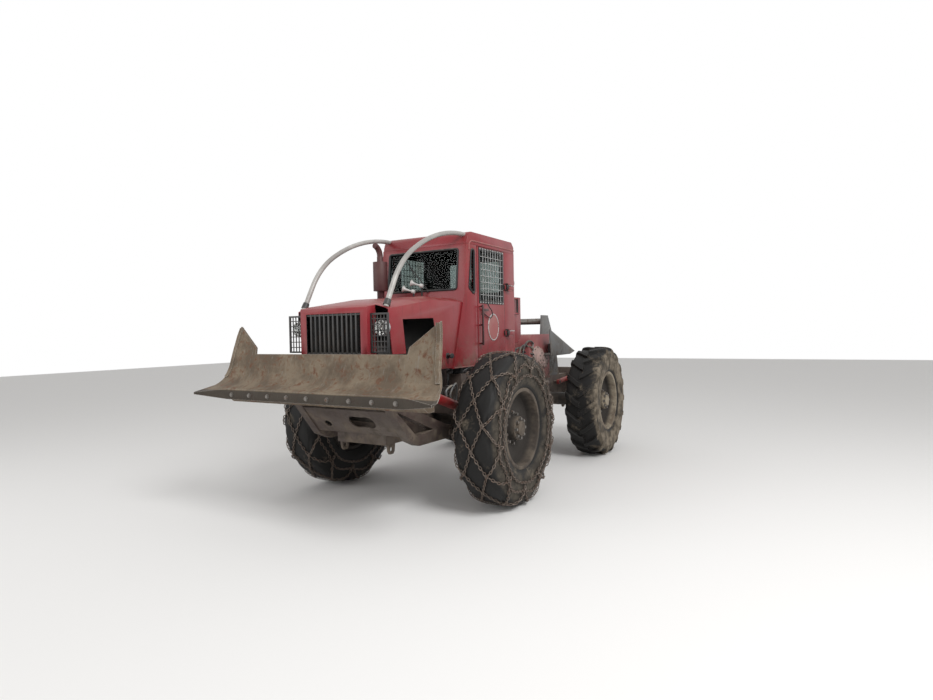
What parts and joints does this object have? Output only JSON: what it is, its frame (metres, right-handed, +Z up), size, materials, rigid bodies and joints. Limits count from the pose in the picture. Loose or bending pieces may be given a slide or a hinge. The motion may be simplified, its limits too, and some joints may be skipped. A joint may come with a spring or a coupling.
{
  "type": "articulated cable skidder",
  "caption": "Articulated four-wheel forest tractor with a closed cab, front blade with lift cylinders, centre steering joint, rear winch with arch and a hinged butt plate.",
  "frame": {"origin": "on the ground under the middle of the whole machine", "axes": "+X forward to the blade, +Y to the left side, +Z up"},
  "size_m": [5.68, 2.74, 2.84],
  "materials": {
    "frame_paint": "red-brown paint under dried mud",
    "dark_iron": "oily black-brown casting",
    "black_paint": "matt black paint, dusty",
    "red_paint": "faded red paint, mud and scratches",
    "lamp_metal": "bright lamp shell",
    "pale_tube": "bleached pink-grey paint, rubbed to steel",
    "mount_rubber": "black rubber",
    "glass": "clear, dusty",
    "cushion": "black vinyl",
    "exhaust_steel": "heat-browned steel",
    "blade_rust": "khaki-brown rust and dry soil, polished at the edge",
    "rod_chrome": "polished piston rod",
    "faded_red": "sun-bleached red paint, chalky",
    "worn_steel": "worn bare steel",
    "grey_paint": "grey paint, mud at the edges",
    "tyre_rubber": "worn rubber with dried mud",
    "rim_paint": "pale rim paint under dirt"
  },
  "bodies": {
    "front_frame": {"front_chassis": "frame_paint", "front_axle": "dark_iron", "engine": "dark_iron", "radiator": "black_paint", "hood": "red_paint", "grille": "black_paint", "lamp_guards": "black_paint", "headlamps": "lamp_metal", "brush_guards": "pale_tube", "cab_mounts": "mount_rubber", "cab_body": "red_paint", "cab_roof": "red_paint", "cab_glass": "glass", "seat": "cushion", "console": "black_paint", "exhaust": "exhaust_steel", "rear_tank": "red_paint", "steps": "black_paint", "tie_downs_front": "frame_paint"},
    "rear_frame": {"rear_chassis": "frame_paint", "rear_axle": "dark_iron", "winch_housing": "faded_red", "cable_arch": "grey_paint", "arch_rollers": "worn_steel", "side_plates": "grey_paint", "tie_downs_rear": "frame_paint"},
    "wheel_fl": {"tyre_fl": "tyre_rubber", "rim_fl": "rim_paint"},
    "wheel_fr": {"tyre_fr": "tyre_rubber", "rim_fr": "rim_paint"},
    "wheel_rl": {"tyre_rl": "tyre_rubber", "rim_rl": "rim_paint"},
    "wheel_rr": {"tyre_rr": "tyre_rubber", "rim_rr": "rim_paint"},
    "blade_carrier": {"blade": "blade_rust", "blade_arms": "frame_paint"},
    "lift_barrel_pair": {"lift_barrels": "red_paint"},
    "lift_rod_pair": {"lift_rods": "rod_chrome"},
    "left_door": {"door_left": "red_paint", "door_left_glass": "glass", "door_left_guard": "black_paint"},
    "right_door": {"door_right": "red_paint", "door_right_glass": "glass", "door_right_guard": "black_paint"},
    "steer_barrel_l": {"steer_barrel_left": "red_paint"},
    "steer_rod_l": {"steer_rod_left": "rod_chrome"},
    "steer_barrel_r": {"steer_barrel_right": "red_paint"},
    "steer_rod_r": {"steer_rod_right": "rod_chrome"},
    "drums": {"winch_drums": "worn_steel"},
    "butt": {"butt_plate": "frame_paint"},
    "butt_barrel_pair": {"butt_barrels": "red_paint"},
    "butt_rod_pair": {"butt_rods": "rod_chrome"}
  },
  "joints": [
    {"name": "steer", "type": "hinge", "parent": "front_frame", "child": "rear_frame", "pos_m": [-0.36, 0, 0.85], "axis": [0, 0, 1], "range_deg": [-40, 40]},
    {"name": "wheel_fl_spin", "type": "hinge", "parent": "front_frame", "child": "wheel_fl", "pos_m": [1.06, 1.1, 0.777], "axis": [0, 1, 0], "continuous": true},
    {"name": "wheel_fr_spin", "type": "hinge", "parent": "front_frame", "child": "wheel_fr", "pos_m": [1.06, -1.1, 0.777], "axis": [0, 1, 0], "continuous": true},
    {"name": "wheel_rl_spin", "type": "hinge", "parent": "rear_frame", "child": "wheel_rl", "pos_m": [-1.78, 1.1, 0.755], "axis": [0, 1, 0], "continuous": true},
    {"name": "wheel_rr_spin", "type": "hinge", "parent": "rear_frame", "child": "wheel_rr", "pos_m": [-1.78, -1.1, 0.755], "axis": [0, 1, 0], "continuous": true},
    {"name": "blade_lift", "type": "hinge", "parent": "front_frame", "child": "blade_carrier", "pos_m": [1.34, 0, 0.74], "axis": [0, 1, 0], "range_deg": [0, 45]},
    {"name": "lift_barrel_swing", "type": "hinge", "parent": "front_frame", "child": "lift_barrel_pair", "pos_m": [1.19, 0, 0.965], "axis": [0, 1, 0], "range_deg": [-0.5, 40.8]},
    {"name": "lift_rod_slide", "type": "slide", "parent": "lift_barrel_pair", "child": "lift_rod_pair", "axis": [0.9514, 0, 0.308], "range_m": [-0.002, 0.178]},
    {"name": "door_left_swing", "type": "hinge", "parent": "front_frame", "child": "left_door", "pos_m": [-0.025, 0.59, 2], "axis": [0, 0, 1], "range_deg": [0, 80]},
    {"name": "door_right_swing", "type": "hinge", "parent": "front_frame", "child": "right_door", "pos_m": [-0.025, -0.59, 2], "axis": [0, 0, -1], "range_deg": [0, 80]},
    {"name": "steer_barrel_swing_l", "type": "hinge", "parent": "front_frame", "child": "steer_barrel_l", "pos_m": [0.4, 0.4, 0.855], "axis": [0, 0, 1], "range_deg": [-9.6, 9.6]},
    {"name": "steer_rod_slide_l", "type": "slide", "parent": "steer_barrel_l", "child": "steer_rod_l", "axis": [-0.9992, -0.0396, 0], "range_m": [-0.255, 0.255]},
    {"name": "steer_barrel_swing_r", "type": "hinge", "parent": "front_frame", "child": "steer_barrel_r", "pos_m": [0.4, -0.4, 0.855], "axis": [0, 0, 1], "range_deg": [-9.6, 9.6]},
    {"name": "steer_rod_slide_r", "type": "slide", "parent": "steer_barrel_r", "child": "steer_rod_r", "axis": [-0.9992, 0.0396, 0], "range_m": [-0.255, 0.255]},
    {"name": "drum_spin", "type": "hinge", "parent": "rear_frame", "child": "drums", "pos_m": [-1.93, 0, 1.33], "axis": [0, 1, 0], "continuous": true},
    {"name": "butt_lift", "type": "hinge", "parent": "rear_frame", "child": "butt", "pos_m": [-2.57, 0, 0.76], "axis": [0, 1, 0], "range_deg": [-25, 0]},
    {"name": "butt_barrel_swing", "type": "hinge", "parent": "rear_frame", "child": "butt_barrel_pair", "pos_m": [-2.21, 0, 0.96], "axis": [0, 1, 0], "range_deg": [-9.8, 0.3]},
    {"name": "butt_rod_slide", "type": "slide", "parent": "butt_barrel_pair", "child": "butt_rod_pair", "axis": [-0.9973, 0, 0.0739], "range_m": [-0.001, 0.089]}
  ],
  "couplings": [
    {"joint": "lift_barrel_swing", "follows": "blade_lift", "ratio": 0.8953},
    {"joint": "lift_rod_slide", "follows": "blade_lift", "m_per_rad": 0.2236},
    {"joint": "steer_barrel_swing_l", "follows": "steer", "ratio": 0.2332},
    {"joint": "steer_rod_slide_l", "follows": "steer", "m_per_rad": 0.3644},
    {"joint": "steer_barrel_swing_r", "follows": "steer", "ratio": 0.2332},
    {"joint": "steer_rod_slide_r", "follows": "steer", "m_per_rad": -0.3644},
    {"joint": "butt_barrel_swing", "follows": "butt_lift", "ratio": 0.381},
    {"joint": "butt_rod_slide", "follows": "butt_lift", "m_per_rad": -0.2019}
  ]
}
